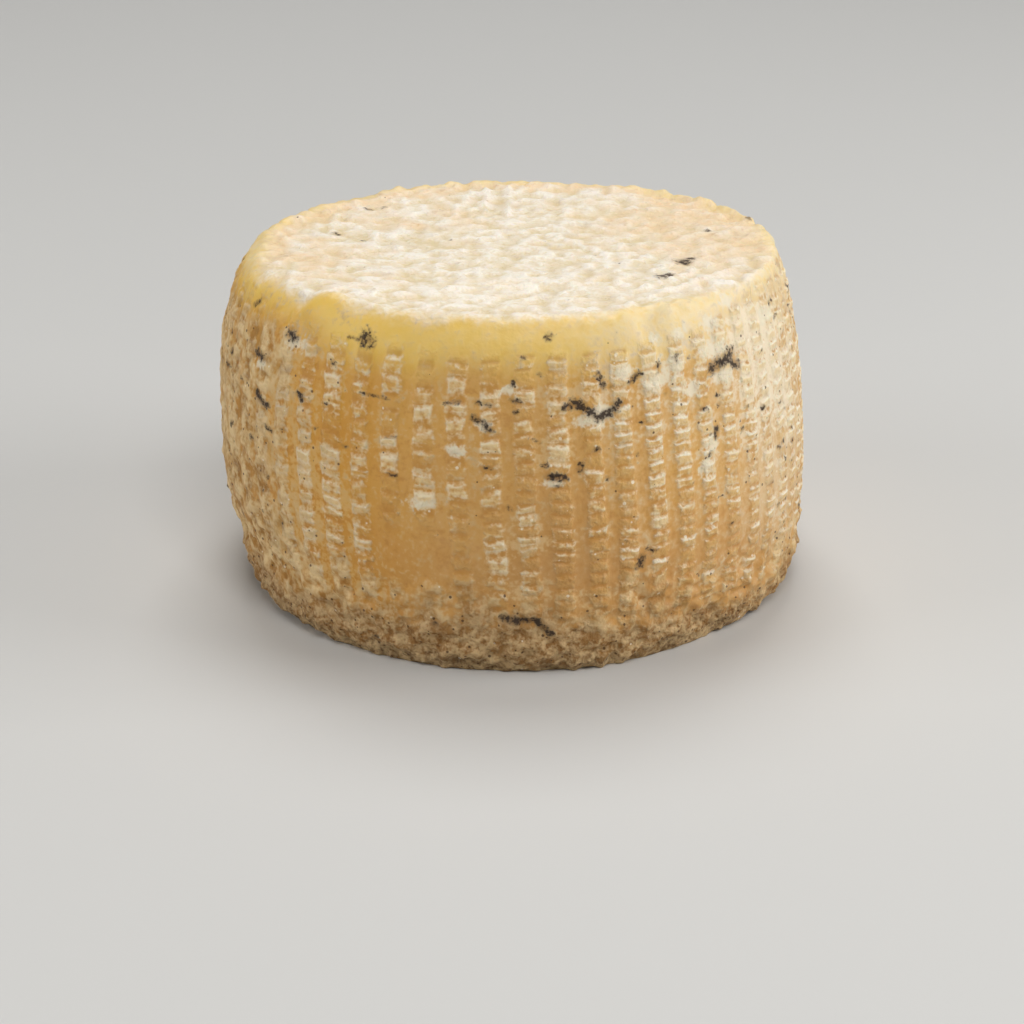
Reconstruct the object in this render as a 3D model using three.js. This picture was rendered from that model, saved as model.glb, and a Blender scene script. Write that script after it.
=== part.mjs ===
// A tomme: a small round cheese, drained in a woven basket and ripened under a natural rind.
// One solid in millimetres, +Z up. It stands on its flat base, and its shown side faces -Y.
import * as THREE from 'three';

// Driving dimensions of the wheel
const WHEEL_HEIGHT = 102;        // base to the middle of the top face
const BELLY_RADIUS = 90;         // widest part of the side
const BELLY_HEIGHT = 40;         // how high that widest part is
const FOOT_RADIUS = 80;          // where the side comes down to the base
const FOOT_FORWARD = 7.5;        // the slumped foot spreads this far to the front
const FOOT_LEFT = 2.6;           // and this far to the left
const FOOT_ROUNDNESS = 1.5;      // exponent of the curve from belly to foot
const FOOT_EDGE_DEPTH = 3;       // the bottom edge rounds in by this much
const FOOT_EDGE_HEIGHT = 9;      // over this height
const FACE_RADIUS = 76.6;        // flat part of the top
const FACE_RIGHT = 5.2;          // the shoulder is fuller on the right by this much
const FACE_BACK = 1.3;           // and a little fuller at the back
const SHOULDER_ROUNDNESS = 1.95; // exponent of the curve from belly to top
const LEAN_LEFT = 0.074;         // sideways lean for each millimetre above the belly
const FACE_TILT = 0.026;         // the top rises towards the front by this slope

// Marks of the basket: raised ladders round the side, smooth bands between them
const LADDERS = 58;
const LADDER_RELIEF = 0.9;       // ladders stand this far above the bands
const LADDER_SHARE = 0.54;       // a ladder's width as a share of the way to the next one
const RUNG_PITCH = 6.8;          // spacing of the large cells of a ladder
const RUNG_RELIEF = 0.7;         // cells stand this far above the gaps between them
const MARKS_LOW = 25;            // below this the marks are lost in crumbly rind
const MARKS_HIGH = 93;           // above this the shoulder is smooth
const FIRST_LADDER = 2.7;        // angle of one ladder from the front, in degrees
const STAVE_DRIFT = 3.5;         // the ladders stand closer at the front by this angle, in degrees
const WORN_ANGLE = -75;          // middle of the worn part of the side, in degrees from the front
const WORN_REACH = 32;           // its reach to either side, in degrees
const WORN_LOSS = 0.6;           // share of the marks that is rubbed away there

// Crumbly foot and dished top
const CRUMB_RELIEF = 0.9;        // height of the crumbs below the marks
const CRUMB_ROW = 3.8;           // height of one row of crumbs
const RIM_RISE = 1.1;            // the rim of the top stands above the middle by this much
const WAVE_RELIEF = 0.4;         // height of the top's long waves
const WAVE_LENGTH = 84;          // from one wave to the next

// Swells and hollows of a wheel shaped by hand: angle from the front in degrees, height,
// reach round the side in degrees, reach up the side, and how far it stands out
const SWELLS = [
  { angle: 128, height: 98, reachRound: 22, reachUp: 14, out: 1.9 },   // full back shoulder
  { angle: 40, height: 3, reachRound: 12, reachUp: 13, out: -2.2 },    // foot drawn in, front right
  { angle: 74, height: 9, reachRound: 18, reachUp: 12, out: 1.6 },     // foot spread on the right
  { angle: -72, height: 20, reachRound: 22, reachUp: 6, out: -0.9 },   // hollow low on the left
  { angle: -84, height: 34, reachRound: 30, reachUp: 9, out: 0.9 },    // swell above it
  { angle: -58, height: 4, reachRound: 14, reachUp: 8, out: 0.9 },     // foot spread on the left
  { angle: -43, height: 99, reachRound: 5, reachUp: 5, out: 1.0 },     // lobe in the left shoulder
  { angle: 28, height: 99, reachRound: 3, reachUp: 5, out: -1.0 },     // crease in the right shoulder
  { angle: 84, height: 40, reachRound: 26, reachUp: 16, out: -0.7 },   // flat on the right
  { angle: 200, height: 60, reachRound: 40, reachUp: 22, out: 0.8 },   // swell on the back
  { angle: -130, height: 30, reachRound: 30, reachUp: 16, out: -0.9 }, // hollow on the back left
];

// Rows of points from the middle of the base to the middle of the top
const LADDER_POINTS = [-LADDER_SHARE / 2, LADDER_SHARE / 2, 0.5];
const FOOT_ROWS = [0, 2.5];
const SHOULDER_ROWS = [97, 100.4, WHEEL_HEIGHT];
const FACE_ROWS = [0.93, 0.7, 0.38, 0];
const SEED = 31;

const radians = THREE.MathUtils.degToRad;
const smooth = THREE.MathUtils.smoothstep;

// Random numbers from 0 to 1 that come out alike on every run
function seededRandom(seed) {
  let state = seed;
  return () => {
    state = (state * 16807) % 2147483647;
    return state / 2147483647;
  };
}

// How far along the curve from an end (0) to the belly (1) a share of the height has come
function bulge(share, roundness) {
  return Math.max(0, 1 - share ** roundness) ** (1 / roundness);
}

// Angle from the front at which a stave of the basket stood
function staveAngle(turn) {
  return turn + radians(FIRST_LADDER) - radians(STAVE_DRIFT) * (1 - Math.cos(turn));
}

// Angle between two directions, from -180 to 180 degrees
function angleApart(first, second) {
  return THREE.MathUtils.euclideanModulo(first - second + 180, 360) - 180;
}

// Outward push of all swells and hollows at a place on the side
function swell(angle, height) {
  let push = 0;
  for (const { angle: middle, height: level, reachRound, reachUp, out } of SWELLS) {
    const round = angleApart(THREE.MathUtils.radToDeg(angle), middle) / reachRound;
    const up = (height - level) / reachUp;
    push += out * Math.exp(-round * round - up * up);
  }
  return push;
}

// Outward push of the basket's marks at a place on the side, in a ladder or in a band
function basketMarks(angle, height, onLadder) {
  const rung = 0.5 + 0.5 * Math.cos((height - MARKS_LOW) / RUNG_PITCH * 2 * Math.PI);
  const fromWorn = angleApart(THREE.MathUtils.radToDeg(angle), WORN_ANGLE) / WORN_REACH;
  const kept = 1 - WORN_LOSS * Math.exp(-fromWorn * fromWorn);
  const below = smooth(height, MARKS_LOW - 12, MARKS_LOW);
  const above = 1 - smooth(height, MARKS_HIGH, WHEEL_HEIGHT);
  const push = onLadder ? LADDER_RELIEF / 2 + RUNG_RELIEF * (rung - 0.5) : -LADDER_RELIEF / 2;
  return kept * below * above * push;
}

// Height of the top's long waves, which run from side to side
function wave(x, y) {
  return WAVE_RELIEF * Math.sin((y + 0.4 * x) / WAVE_LENGTH * 2 * Math.PI);
}

// Heights of the rows up the side: foot, crumbly part, ladders, then the round shoulder
function sideRows() {
  const crumbStart = FOOT_EDGE_HEIGHT * 2 / 3;
  const crumbRows = Math.round((MARKS_LOW - crumbStart) / CRUMB_ROW);
  const markRows = Math.round((MARKS_HIGH - MARKS_LOW) / (RUNG_PITCH / 2));
  const rows = [...FOOT_ROWS];
  for (let row = 0; row < crumbRows; row += 1) {
    rows.push(crumbStart + (MARKS_LOW - crumbStart) * row / crumbRows);
  }
  for (let row = 0; row <= markRows; row += 1) {
    rows.push(MARKS_LOW + row * RUNG_PITCH / 2);
  }
  return [...rows, ...SHOULDER_ROWS];
}

// A point on the smooth side: radius from the axis and the axis's own shift at that height
function sidePoint(height) {
  if (height < BELLY_HEIGHT) {
    const full = bulge((BELLY_HEIGHT - height) / BELLY_HEIGHT, FOOT_ROUNDNESS);
    const edge = Math.max(0, 1 - height / FOOT_EDGE_HEIGHT) ** 2;
    const radius = THREE.MathUtils.lerp(FOOT_RADIUS, BELLY_RADIUS, full) - FOOT_EDGE_DEPTH * edge;
    return { radius, right: -FOOT_LEFT * (1 - full), back: -FOOT_FORWARD * (1 - full) };
  }
  const full = bulge((height - BELLY_HEIGHT) / (WHEEL_HEIGHT - BELLY_HEIGHT), SHOULDER_ROUNDNESS);
  const radius = THREE.MathUtils.lerp(FACE_RADIUS, BELLY_RADIUS, full);
  return { radius, right: FACE_RIGHT * (1 - full), back: FACE_BACK * (1 - full) };
}

// Place of a point of the side or of the top, with all its relief
function wheelPoint(angle, height, share, onLadder, crumb) {
  const { radius, right, back } = sidePoint(height);
  const onBase = height === 0;
  const crumbly = onBase ? 0 : 1 - smooth(height, MARKS_LOW - 6, MARKS_LOW + 4);
  const relief = share < 1 || onBase
    ? 0
    : swell(angle, height) + basketMarks(angle, height, onLadder) + CRUMB_RELIEF * crumbly * (crumb - 0.5);
  const reach = (radius + relief) * share;
  const lean = -LEAN_LEFT * (height - BELLY_HEIGHT);
  const x = reach * Math.sin(angle) + right + lean;
  const y = -reach * Math.cos(angle) + back;
  const upper = Math.max(0, (height - BELLY_HEIGHT) / (WHEEL_HEIGHT - BELLY_HEIGHT)) ** 2;
  const dish = onBase ? 0 : RIM_RISE * (share ** 4 - 1) * (height === WHEEL_HEIGHT ? 1 : 0);
  const waved = height === WHEEL_HEIGHT && share < 1 ? wave(x, y) : 0;
  const z = height - upper * FACE_TILT * y + dish + waved;
  return [x, y, z];
}

// The whole wheel: a lathe gives the closed net of faces, and every point then takes its real place
function wheelGeometry() {
  const rows = [{ height: 0, share: 0 }];
  for (const height of sideRows()) {
    rows.push({ height, share: 1 });
  }
  for (const share of FACE_ROWS) {
    rows.push({ height: WHEEL_HEIGHT, share });
  }
  const section = rows.map(({ height, share }) => new THREE.Vector2(sidePoint(height).radius * share, height));
  const around = LADDERS * LADDER_POINTS.length;
  const geometry = new THREE.LatheGeometry(section, around);
  const random = seededRandom(SEED);
  const crumbs = Array.from({ length: around * rows.length }, random);
  const place = geometry.getAttribute('position');
  for (let column = 0; column <= around; column += 1) {
    const first = column % around;
    const ladder = Math.floor(first / LADDER_POINTS.length);
    const offset = LADDER_POINTS[first % LADDER_POINTS.length];
    const angle = staveAngle((ladder + offset) / LADDERS * 2 * Math.PI);
    const onLadder = offset < 0.5;
    rows.forEach(({ height, share }, row) => {
      const crumb = crumbs[first * rows.length + row];
      const [x, y, z] = wheelPoint(angle, height, share, onLadder, crumb);
      place.setXYZ(column * rows.length + row, x, y, z);
    });
  }
  geometry.computeBoundingBox();
  const middle = geometry.boundingBox.getCenter(new THREE.Vector3());
  geometry.translate(-middle.x, -middle.y, -geometry.boundingBox.min.z);
  geometry.computeVertexNormals();
  return geometry;
}

const rind = new THREE.MeshStandardMaterial({ color: 0xd9bd86, roughness: 0.72, metalness: 0 });
const cheese = new THREE.Mesh(wheelGeometry(), rind);
cheese.name = 'cheese_wheel';

const tomme = new THREE.Group();
tomme.name = 'tomme';
tomme.add(cheese);

export default tomme;
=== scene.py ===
# %% [markdown]
# # A tomme cheese
# A tomme is a small round cheese with a natural rind. This one was drained in a slotted basket, whose
# slots left raised ladders of little pads round the side, and it then ripened under a pale bloom with
# dark mould spots. The lesson builds the wheel as one closed mesh whose relief is real geometry, and
# paints the rind with nodes that read a few values kept at each point of that mesh.
#
# The measured solid comes first. It fixes where the cheese stands.

# %% Load the measured solid
import math
from itertools import product

import bpy
import numpy as np
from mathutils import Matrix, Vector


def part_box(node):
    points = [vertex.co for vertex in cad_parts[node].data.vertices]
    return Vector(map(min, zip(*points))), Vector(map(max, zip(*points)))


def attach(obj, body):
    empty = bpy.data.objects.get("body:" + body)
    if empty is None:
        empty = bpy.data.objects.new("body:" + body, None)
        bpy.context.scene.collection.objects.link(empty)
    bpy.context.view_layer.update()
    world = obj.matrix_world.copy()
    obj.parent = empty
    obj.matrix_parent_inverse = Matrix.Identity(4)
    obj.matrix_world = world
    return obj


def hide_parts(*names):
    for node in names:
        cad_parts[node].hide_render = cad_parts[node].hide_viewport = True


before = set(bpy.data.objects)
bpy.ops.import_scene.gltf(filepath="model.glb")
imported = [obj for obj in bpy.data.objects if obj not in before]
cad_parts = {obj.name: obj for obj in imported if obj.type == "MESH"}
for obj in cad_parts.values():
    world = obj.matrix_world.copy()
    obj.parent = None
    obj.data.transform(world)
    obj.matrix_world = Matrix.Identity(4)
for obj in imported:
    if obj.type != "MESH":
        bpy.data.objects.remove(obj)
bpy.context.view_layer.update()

# %% [markdown]
# ## The smooth wheel
# Under its marks the cheese is a slumped drum: widest below the middle, rounded into a flat top, with a
# foot that spread forwards. A lathe would make it too even, so each height gets its own radius and shift,
# and swells and hollows are pressed in afterwards. Sizes are in millimetres until the mesh is made.

# %% Sizes of the smooth wheel
MILLIMETRE = 0.001
WHEEL_HEIGHT = 102
BELLY_RADIUS = 90
BELLY_HEIGHT = 40
FOOT_RADIUS = 80
FOOT_FORWARD = 7.5
FOOT_LEFT = 2.6
FOOT_ROUNDNESS = 1.5
FOOT_EDGE_DEPTH = 3
FOOT_EDGE_HEIGHT = 9
FACE_RADIUS = 76.6
FACE_RIGHT = 5.2
FACE_BACK = 1.3
SHOULDER_ROUNDNESS = 1.95
LEAN_LEFT = 0.074
FACE_TILT = 0.026


def bulge(share, roundness):
    """How full the side is, from 1 at the belly to 0 at an end of its curve."""
    return np.clip(1 - np.clip(share, 0, 1) ** roundness, 0, 1) ** (1 / roundness)


def smooth_section(height):
    """Radius, shift to the right and shift to the back of the smooth wheel at each height."""
    low = bulge((BELLY_HEIGHT - height) / BELLY_HEIGHT, FOOT_ROUNDNESS)
    high = bulge((height - BELLY_HEIGHT) / (WHEEL_HEIGHT - BELLY_HEIGHT), SHOULDER_ROUNDNESS)
    edge = np.clip(1 - height / FOOT_EDGE_HEIGHT, 0, 1) ** 2
    below = height < BELLY_HEIGHT
    foot_radius = FOOT_RADIUS + (BELLY_RADIUS - FOOT_RADIUS) * low - FOOT_EDGE_DEPTH * edge
    radius = np.where(below, foot_radius, FACE_RADIUS + (BELLY_RADIUS - FACE_RADIUS) * high)
    right = np.where(below, -FOOT_LEFT * (1 - low), FACE_RIGHT * (1 - high))
    back = np.where(below, -FOOT_FORWARD * (1 - low), FACE_BACK * (1 - high))
    return radius, right - LEAN_LEFT * (height - BELLY_HEIGHT), back


print("smooth wheel is", 2 * BELLY_RADIUS, "mm across and", WHEEL_HEIGHT, "mm high")

# %% [markdown]
# ## Rows of points up the section
# Rows must be evenly spaced along the curve, not along the height, or the shoulder would get too few. So
# the section is measured as a chain of short steps, and the rows are taken at equal lengths along it, a
# little wider on the smooth shoulder. Each row's outward direction is kept for pushing the relief.

# %% Measure the section and space its rows
MARK_STEP = 0.66
SHOULDER_STEP = 1.05
SHOULDER_START = (93, 97)
FOOT_LINKS = 500
SHOULDER_LINKS = 1500

bend = np.linspace(0, math.pi / 2, SHOULDER_LINKS)
chain = np.concatenate([
    np.linspace(0, BELLY_HEIGHT, FOOT_LINKS, endpoint=False),
    BELLY_HEIGHT + (WHEEL_HEIGHT - BELLY_HEIGHT) * np.sin(bend),
])
chain_radius = smooth_section(chain)[0]
chain_steps = np.hypot(np.diff(chain), np.diff(chain_radius))
row_step = np.interp(chain[1:], SHOULDER_START, [MARK_STEP, SHOULDER_STEP])
chain_rows = np.concatenate([[0], np.cumsum(chain_steps / row_step)])
chain_lengths = np.concatenate([[0], np.cumsum(chain_steps)])
row_numbers = np.linspace(0, chain_rows[-1], round(chain_rows[-1]) + 1)
row_heights = np.interp(row_numbers, chain_rows, chain)
row_radii = np.interp(row_numbers, chain_rows, chain_radius)
row_lengths = np.interp(row_numbers, chain_rows, chain_lengths)
row_rise = np.gradient(row_heights)
row_draw = np.gradient(row_radii)
row_out = row_rise / np.hypot(row_rise, row_draw)
row_up = -row_draw / np.hypot(row_rise, row_draw)
print("side is", round(chain_steps.sum(), 1), "mm from foot to face, in", len(row_heights), "rows")

# %% [markdown]
# ## A net of rings
# The whole skin is a stack of rings from the middle of the base to the middle of the top. Round the side
# each ladder of the basket gets the same number of points, so the marks sit squarely on the net. Towards
# the middle of the top and base the rings have fewer points, so that no sliver faces arise there.

# %% Stack the rings
LADDERS = 58
POINTS_PER_LADDER = 9
AROUND = LADDERS * POINTS_PER_LADDER
FACE_RINGS = [(68, 1.0, AROUND), (28, 1.1, AROUND // 2), (9, 1.3, AROUND // 6), (3, 2.0, AROUND // 18)]
BASE_RING_SHARE = 0.5

rings = []


def add_ring(points, height, share, out, up, past_rim):
    """A ring of points: its share of the section's radius, the way it faces, and how far past the rim."""
    rings.append({
        "points": points, "height": height, "share": share, "out": out, "up": up, "past_rim": past_rim,
    })


add_ring(1, 0.0, 0.0, 0.0, -1.0, -row_lengths[-1])
add_ring(AROUND // 6, 0.0, BASE_RING_SHARE, 0.0, -1.0, -row_lengths[-1])
for row_height, row_outward, row_upward, row_length in zip(row_heights, row_out, row_up, row_lengths):
    add_ring(AROUND, row_height, 1.0, row_outward, row_upward, row_length - row_lengths[-1])
outer = FACE_RADIUS
for inner, spacing, ring_points in FACE_RINGS:
    for ring_radius in np.linspace(outer, inner, round((outer - inner) / spacing) + 1)[1:]:
        past_face_edge = FACE_RADIUS - ring_radius
        add_ring(ring_points, WHEEL_HEIGHT, ring_radius / FACE_RADIUS, 0.0, 1.0, past_face_edge)
    outer = inner
add_ring(1, WHEEL_HEIGHT, 0.0, 0.0, 1.0, FACE_RADIUS)
counts = np.array([ring["points"] for ring in rings])
starts = np.concatenate([[0], np.cumsum(counts)[:-1]])
print(len(rings), "rings with", counts.sum(), "points")

# %% [markdown]
# ## From rings to a smooth wheel
# From here on a value is an array with one number for each point, so a sum shapes the whole cheese at
# once. On this cheese the ladders stand a little closer on the right than on the left, and bending the
# angle of each column does that for net, relief and colour together.

# %% Place the points of the smooth wheel
FIRST_LADDER = math.radians(2.7)
STAVE_DRIFT = math.radians(3.5)


def spread(key):
    """One value of every ring, repeated for each of its points."""
    return np.repeat([ring[key] for ring in rings], counts)


turn = np.concatenate([np.arange(points) / points for points in counts]) * 2 * math.pi
height = spread("height")
share = spread("share")
past_rim = spread("past_rim")
on_side = (share == 1.0)
on_face = (height == WHEEL_HEIGHT) & ~on_side
angle = turn + FIRST_LADDER - STAVE_DRIFT * (1 - np.cos(turn))
degrees = (np.degrees(angle) + 180) % 360 - 180
sine = np.sin(angle)
cosine = np.cos(angle)
radius, right, back = smooth_section(height)
smooth_x = radius * share * sine + right
smooth_y = -radius * share * cosine + back
smooth_place = np.stack([smooth_x, smooth_y, height], axis=1)
print(on_side.sum(), "points on the side and", on_face.sum(), "on the top")

# %% [markdown]
# ## Uneven things
# Nothing on a cheese has a straight edge. A noise texture would make only the colours uneven, so soft
# lumps from a lattice of steady random numbers are worked out for every point, and relief and colour share
# them. A soft step turns any value into a mask from 0 to 1.


# %% Soft steps and lumps
def step(low, high, value):
    """A soft step: 0 at low, 1 at high."""
    part = np.clip((value - low) / (high - low), 0, 1)
    return part * part * (3 - 2 * part)


def scatter(lattice, seed):
    """A steady random number from 0 to 1 for each cell of a lattice."""
    mixed = lattice @ np.array([73856093, 19349663, 83492791]) + seed * 15485863
    mixed = (mixed ^ (mixed >> 13)) * 1274126177
    mixed = mixed ^ (mixed >> 16)
    return (mixed & 0xFFFF) / 0xFFFF


def lumps(size, seed, stretch=(1, 1, 1)):
    """Soft random lumps from 0 to 1, about this many millimetres across, at every point."""
    scaled = smooth_place / (size * np.array(stretch))
    corner = np.floor(scaled).astype(np.int64)
    part = step(0, 1, scaled - corner)
    total = np.zeros(len(scaled))
    for far_side in product((0, 1), repeat=3):
        weight = np.prod(np.where(far_side, part, 1 - part), axis=1)
        total += weight * scatter(corner + np.array(far_side), seed)
    return total


uneven = lumps(14, seed=5) - 0.5
ragged = lumps(5, seed=6) - 0.5
print("wide lumps run from", round(uneven.min(), 2), "to", round(uneven.max(), 2))

# %% [markdown]
# ## Swells and hollows
# A wheel turned by hand every few days is never round. Sculpting would do, but a short list of soft spots
# can be read and changed: angle from the front, height, reach round the side and up it, and how far each
# stands out.


# %% Press the swells and hollows
def apart(middle):
    """Degrees round the wheel from an angle, between -180 and 180."""
    return (degrees - middle + 180) % 360 - 180


def spot(middle, level, reach_round, reach_up):
    """A soft spot on the side, 1 in its middle, with its reach in degrees and millimetres."""
    return np.exp(-(apart(middle) / reach_round) ** 2 - ((height - level) / reach_up) ** 2)


def gather(kind, listed):
    """The sum of listed spots of a kind, each with its own amount as the last number."""
    return sum(amount * kind(*where) for *where, amount in listed)


SWELLS = [
    (128, 98, 22, 14, 1.9),     # full back shoulder
    (40, 3, 12, 13, -2.2),      # foot drawn in, front right
    (74, 9, 18, 12, 1.6),       # foot spread on the right
    (-72, 20, 22, 6, -0.9),     # hollow low on the left
    (-84, 34, 30, 9, 0.9),      # swell above it
    (-58, 4, 14, 8, 0.9),       # foot spread on the left
    (-42, 100, 5.5, 5, 1.2),    # lobe in the left shoulder
    (-48.5, 99, 2, 5, -1.0),    # crease beside it
    (28, 99, 3, 5, -1.0),       # crease in the right shoulder
    (84, 40, 26, 16, -0.7),     # flat on the right
    (200, 60, 40, 22, 0.8),     # swell on the back
    (-130, 30, 30, 16, -0.9),   # hollow on the back left
]
swells = gather(spot, SWELLS)
print("swells reach from", round(swells.min(), 2), "to", round(swells.max(), 2), "mm")

# %% [markdown]
# ## Zones of the rind
# The marks don't show alike everywhere: the shoulder is smooth and waxy, the left side is worn, one patch
# at the front is bare, and the foot is a grey crumbly crust. Each zone is a soft mask from 0 to 1, made
# ragged by the lumps, and relief and colour both use it.

# %% Masks of the zones
MARKS_LOW = 25
MARKS_LOW_FADE = 8
MARKS_HIGH = 92
MARKS_HIGH_FADE = (4, -2)
WORN_STARTS = (-26, -60)
WORN_ENDS = (-154, -118)
RIGHT_STARTS = (6, 22)
FAR_RIGHT_STARTS = (34, 66)
RIGHT_ENDS = (150, 110)
BACK_STARTS = (62, 100)
BARE_PATCH = (-19, 36, 8, 13)
CRUMBLY_FADE = (34, 12)
FOOT_TOP = 15
FOOT_FADE = (5, -6)
FOOT_STEPS = [(-2, 14, 22, 40, 5), (45, 10, 25, 40, -3)]
RIM_DROPS = (5, 1)
RIM_SHARES = (0.86, 0.94)

strayed = degrees + 22 * uneven + 8 * ragged
worn = step(*WORN_STARTS, strayed) * step(*WORN_ENDS, strayed)
right_side = step(*RIGHT_STARTS, degrees + 10 * uneven) * step(*RIGHT_ENDS, degrees)
far_right = step(*FAR_RIGHT_STARTS, degrees + 10 * uneven) * step(*RIGHT_ENDS, degrees)
behind = step(*BACK_STARTS, np.abs(degrees))
bare = np.clip(1.4 * spot(*BARE_PATCH), 0, 1)
marks_top = MARKS_HIGH + 7 * far_right + 6 * worn + 4 * uneven
marks_low = MARKS_LOW - 6 * right_side
marks_kept = step(marks_low - MARKS_LOW_FADE, marks_low, height + 6 * uneven)
marks_kept *= step(*(marks_top + fade for fade in MARKS_HIGH_FADE), height)
crumbly = step(*CRUMBLY_FADE, height + 14 * uneven + 8 * ragged)
foot_line = FOOT_TOP + gather(spot, FOOT_STEPS)
foot = step(*(foot_line + fade for fade in FOOT_FADE), height + 8 * uneven + 7 * ragged)
rim = step(*(WHEEL_HEIGHT - drop for drop in RIM_DROPS), height) * step(*RIM_SHARES, share)
print("marks show on", round(marks_kept[on_side].mean(), 2), "of the side")

# %% [markdown]
# ## Ladders
# Where curd pressed into the slots of the basket it left pads, one above the other like the rungs of a
# ladder, with smooth bands between the ladders. Modelling each pad as its own block would need far too
# many faces. Instead each point learns which ladder it is on, and how far across that ladder it lies.

# %% Ladders round the side
crooked = lumps(2.4, seed=7) - 0.5
stave = turn / (2 * math.pi) * LADDERS + 0.5
ladder = np.floor(stave).astype(int) % LADDERS
ladder_pitch = 2 * math.pi * BELLY_RADIUS / LADDERS
across = (stave % 1 - 0.5) * ladder_pitch
print(LADDERS, "ladders, one every", round(ladder_pitch, 2), "mm")

# %% [markdown]
# ## Pads
# Curd never fills all slots alike, so pads and gaps of chance heights are stacked up each ladder, with
# wider gaps at the front and on the left. Each point then knows how far it is inside its ladder's side and
# how far up the ladder it is, counted in pads. Relief and colour both find the pad's edge from these two.

# %% Count the pads up every ladder
LADDER_WIDTH = 5.6
LADDER_WIDTHS = (0.88, 1.1)
LADDER_DRIFT = 0.4
LADDER_LENGTH = 130
START_BELOW = (6, 12)
RUNG_SLANT = 0.06
PAD_SIZE = 3.0
GAP_SHARE = 0.26
FRONT_FROM = -24
LEFT_FROM = -60
FRONT_PADS = {"pads": (1.6, 4.4), "gaps": (0.9, 3.2)}
LEFT_PADS = {"pads": (1.8, 4.2), "gaps": (1.2, 2.8)}
OTHER_PADS = {"pads": (1.9, 3.4), "gaps": (0.7, 1.4)}
random = np.random.default_rng(31)


def pads_facing(facing):
    """The kind of pads that a ladder has, by its angle from the front."""
    if FRONT_FROM < facing < 0:
        return FRONT_PADS
    return LEFT_PADS if LEFT_FROM < facing < FRONT_FROM else OTHER_PADS


rail = np.full(len(turn), -2.0)
rung = np.zeros(len(turn))
luck = np.zeros(len(turn))
for number in range(LADDERS):
    here = np.flatnonzero(on_side & (ladder == number))
    pads_here = pads_facing(degrees[here[np.argmin(np.abs(across[here]))]])
    pad_count = round(LADDER_LENGTH / (np.mean(pads_here["pads"]) + np.mean(pads_here["gaps"])))
    gaps = random.uniform(*pads_here["gaps"], size=pad_count)
    pads = random.uniform(*pads_here["pads"], size=pad_count)
    pad_ends = np.cumsum(np.stack([gaps, pads], axis=1).ravel()) - random.uniform(*START_BELOW)
    rung_ends = (np.arange(pad_count)[:, None] + [GAP_SHARE / 2, 1 - GAP_SHARE / 2]).ravel()
    slant = random.uniform(-RUNG_SLANT, RUNG_SLANT)
    level = height[here] + slant * across[here] + 1.1 * ragged[here] + 0.9 * crooked[here]
    rung[here] = np.interp(level, pad_ends, rung_ends)
    luck[here] = random.uniform(0, 1, size=pad_count)[np.minimum(rung[here].astype(int), pad_count - 1)]
    half_width = LADDER_WIDTH * random.uniform(*LADDER_WIDTHS) / 2
    drift = random.uniform(-LADDER_DRIFT, LADDER_DRIFT) + 0.8 * ragged[here] + 0.9 * crooked[here]
    rail[here] = half_width - np.abs(across[here] - drift)
print("ladders are up to", int(rung.max()), "pads high")

# %% [markdown]
# ## Relief of the side
# The pads stand about half a millimetre above their ladder, and slope like little ledges. Worn and bare
# places keep only part of that. The worn side and the crumbly foot get clumps and crumbs instead, since a
# bump map would leave their outline smooth.

# %% Relief of the side in millimetres
LADDER_RELIEF = 0.3
PAD_RELIEF = 0.75
CRUMB_RELIEF = 2.3
CLUMP_RELIEF = 1.7
RIM_RELIEF = 2.0
WAVE_RELIEF = 0.8
LADDER_EDGE = 0.5
PAD_EDGE = 0.35
BASE_FADE = 2.5
CRUMB_BASE_FADE = 1

along = ((1 - GAP_SHARE) / 2 - np.abs(rung % 1 - 0.5)) / (1 - GAP_SHARE) * PAD_SIZE
inside = np.minimum(along, rail)
kept = marks_kept * (1 - 0.7 * worn) * (1 - 0.9 * bare)
on_ladder = step(-LADDER_EDGE, LADDER_EDGE, rail)
ledge = np.clip((rung % 1 - GAP_SHARE / 2) / (1 - GAP_SHARE), 0, 1)
on_pad = step(-PAD_EDGE, PAD_EDGE, inside) * (0.3 + 0.7 * ledge) * (0.3 + 0.7 * luck)
pad_marks = kept * (LADDER_RELIEF * (on_ladder - 0.5) + PAD_RELIEF * (on_pad - 0.35))
crumbs = CRUMB_RELIEF * crumbly * (lumps(3.4, seed=11) + 0.7 * lumps(1.9, seed=12) - 0.85)
clump = 0.6 * lumps(3.4, seed=13) + 0.4 * lumps(2.0, seed=17)
clumps = CLUMP_RELIEF * np.clip(worn + 0.25 * on_ladder, 0, 1) * marks_kept * (clump - 0.5)
rim_lumps = 0.6 * lumps(4.2, seed=15) + 0.5 * lumps(2.4, seed=16) - 0.55
rim_lumps *= RIM_RELIEF * rim * (0.2 + 0.8 * behind)
waves = WAVE_RELIEF * (lumps(24, seed=14) - 0.5)
side_relief = (swells + pad_marks + clumps + waves) * step(0, BASE_FADE, height)
side_relief += crumbs * (0.4 + 0.6 * step(0, CRUMB_BASE_FADE, height))
print("side relief from", round(side_relief.min(), 2), "to", round(side_relief.max(), 2), "mm")

# %% [markdown]
# ## Relief of the top
# The top face is a pale skin, a little dished inside a raised rim, lumpy all over, with a few straight
# folds left by the draining cloth. A cloth could be simulated for the folds, but they are shallow and
# straight, so the distance from a few lines is enough.

# %% Relief of the top in millimetres
RIM_RISE = 1.1
LUMP_RELIEF = 2.0
FOLD_RELIEF = 0.5
FOLD_WIDTH = 1.0
TINY = 1e-6
CLOTH_FOLDS = [
    ((-2.3, 38), (-2.0, 70)),
    ((-9.6, 42), (-9.5, 70)),
    ((33.6, -49), (58.3, -21)),
    ((38, -56), (64, -26)),
    ((-20, -46), (30, -40)),
    ((-44, -50), (-6, -56)),
]


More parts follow.
